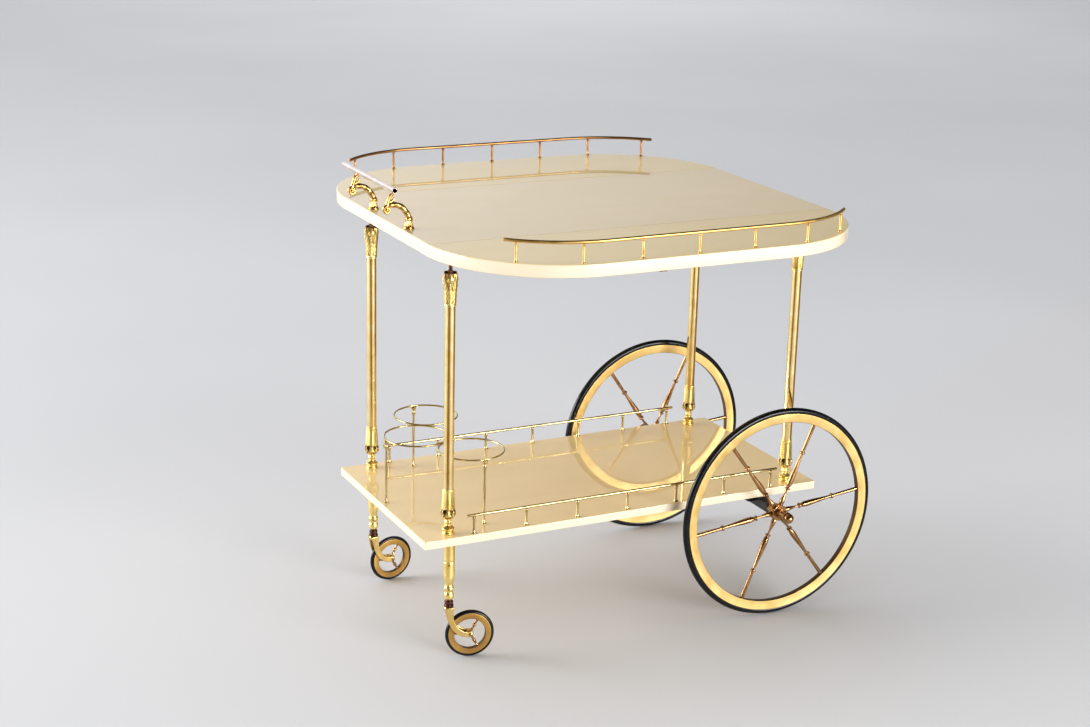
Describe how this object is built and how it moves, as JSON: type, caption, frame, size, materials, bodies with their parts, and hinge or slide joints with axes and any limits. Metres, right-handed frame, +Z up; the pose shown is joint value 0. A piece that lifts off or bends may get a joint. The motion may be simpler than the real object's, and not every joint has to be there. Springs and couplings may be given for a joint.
{
  "type": "drop-leaf serving trolley",
  "caption": "Rolling drinks trolley with a gallery-railed drop-leaf top, lower shelf with bottle rings, large spoked wheels and swivel castors.",
  "frame": {"origin": "on the floor, under the middle of the trolley's bounding box", "axes": "+X along the trolley's length from the handle to the large wheels, +Y to the back, +Z up"},
  "size_m": [0.8822, 0.793, 0.7946],
  "materials": {
    "lacquered_board": "high-gloss ivory lacquer over parchment",
    "polished_brass": "polished, lightly aged",
    "cast_brass": "cast and polished relief",
    "copper_bronze": "turned copper-toned bronze",
    "rim_brass": "satin polished flat face",
    "black_rubber": "smooth black rubber",
    "dark_steel": "darkened steel",
    "axle_steel": "plain turned steel",
    "black_beam": "black painted steel bar",
    "stay_wood": "reddish-brown oiled hardwood"
  },
  "bodies": {
    "frame": {"top_panel": "lacquered_board", "hinge_plates_fixed": "polished_brass", "hinge_pins": "dark_steel", "stay_brackets": "polished_brass", "post_front_left": "polished_brass", "post_front_right": "polished_brass", "post_back_left": "polished_brass", "post_back_right": "polished_brass", "post_capitals": "cast_brass", "post_feet": "cast_brass", "tie_rods": "dark_steel", "tie_rod_nuts": "dark_steel", "lower_shelf": "lacquered_board", "shelf_rail_front": "polished_brass", "shelf_rail_back": "polished_brass", "shelf_rail_posts_front": "polished_brass", "shelf_rail_posts_back": "polished_brass", "bottle_ring_front": "polished_brass", "bottle_ring_middle": "polished_brass", "bottle_ring_back": "polished_brass", "bottle_ring_legs": "polished_brass", "handle_tube": "polished_brass", "handle_bracket_front": "cast_brass", "handle_bracket_back": "cast_brass", "axle_beam": "black_beam", "axle": "axle_steel", "axle_nuts": "axle_steel", "castor_leg_front": "cast_brass", "castor_leg_back": "cast_brass"},
    "leaf_front_body": {"leaf_front": "lacquered_board", "gallery_rail_front": "polished_brass", "gallery_posts_front": "polished_brass", "hinge_plates_front": "polished_brass"},
    "stay_front_body": {"stay_arm_front": "stay_wood"},
    "wheel_front_body": {"wheel_tyre_front": "black_rubber", "wheel_rim_front": "rim_brass", "wheel_spokes_front": "copper_bronze", "wheel_hub_front": "copper_bronze", "hub_cap_front": "copper_bronze"},
    "castor_front_body": {"castor_stem_front": "dark_steel", "castor_fork_front": "polished_brass", "castor_axle_front": "dark_steel"},
    "castor_front_wheel_body": {"castor_tyre_front": "black_rubber", "castor_rim_front": "rim_brass"},
    "leaf_back_body": {"leaf_back": "lacquered_board", "gallery_rail_back": "polished_brass", "gallery_posts_back": "polished_brass", "hinge_plates_back": "polished_brass"},
    "stay_back_body": {"stay_arm_back": "stay_wood"},
    "wheel_back_body": {"wheel_tyre_back": "black_rubber", "wheel_rim_back": "rim_brass", "wheel_spokes_back": "copper_bronze", "wheel_hub_back": "copper_bronze", "hub_cap_back": "copper_bronze"},
    "castor_back_body": {"castor_stem_back": "dark_steel", "castor_fork_back": "polished_brass", "castor_axle_back": "dark_steel"},
    "castor_back_wheel_body": {"castor_tyre_back": "black_rubber", "castor_rim_back": "rim_brass"}
  },
  "joints": [
    {"name": "leaf_front_fold", "type": "hinge", "parent": "frame", "child": "leaf_front_body", "pos_m": [-0.033, -0.19, 0.7], "axis": [1, 0, 0], "range_deg": [0, 90]},
    {"name": "stay_front_fold", "type": "hinge", "parent": "frame", "child": "stay_front_body", "pos_m": [-0.095, -0.186, 0.688], "axis": [1, 0, 0], "range_deg": [0, 92.8]},
    {"name": "wheel_front_spin", "type": "hinge", "parent": "frame", "child": "wheel_front_body", "pos_m": [0.249, -0.228, 0.192], "axis": [0, 1, 0], "continuous": true},
    {"name": "castor_front_swivel", "type": "hinge", "parent": "frame", "child": "castor_front_body", "pos_m": [-0.359, -0.172, 0.1], "axis": [0, 0, 1], "continuous": true},
    {"name": "castor_front_spin", "type": "hinge", "parent": "castor_front_body", "child": "castor_front_wheel_body", "pos_m": [-0.32392, -0.1801, 0.042], "axis": [0.225, 0.9744, 0], "continuous": true},
    {"name": "leaf_back_fold", "type": "hinge", "parent": "frame", "child": "leaf_back_body", "pos_m": [-0.033, 0.19, 0.7], "axis": [-1, 0, 0], "range_deg": [0, 90]},
    {"name": "stay_back_fold", "type": "hinge", "parent": "frame", "child": "stay_back_body", "pos_m": [-0.095, 0.186, 0.688], "axis": [-1, 0, 0], "range_deg": [0, 92.8]},
    {"name": "wheel_back_spin", "type": "hinge", "parent": "frame", "child": "wheel_back_body", "pos_m": [0.249, 0.228, 0.192], "axis": [0, 1, 0], "continuous": true},
    {"name": "castor_back_swivel", "type": "hinge", "parent": "frame", "child": "castor_back_body", "pos_m": [-0.359, 0.172, 0.1], "axis": [0, 0, 1], "continuous": true},
    {"name": "castor_back_spin", "type": "hinge", "parent": "castor_back_body", "child": "castor_back_wheel_body", "pos_m": [-0.32327, 0.17639, 0.042], "axis": [-0.1219, 0.9925, 0], "continuous": true}
  ],
  "couplings": [
    {"joint": "stay_front_fold", "follows": "leaf_front_fold", "ratio": 1.03},
    {"joint": "stay_back_fold", "follows": "leaf_back_fold", "ratio": 1.03}
  ]
}
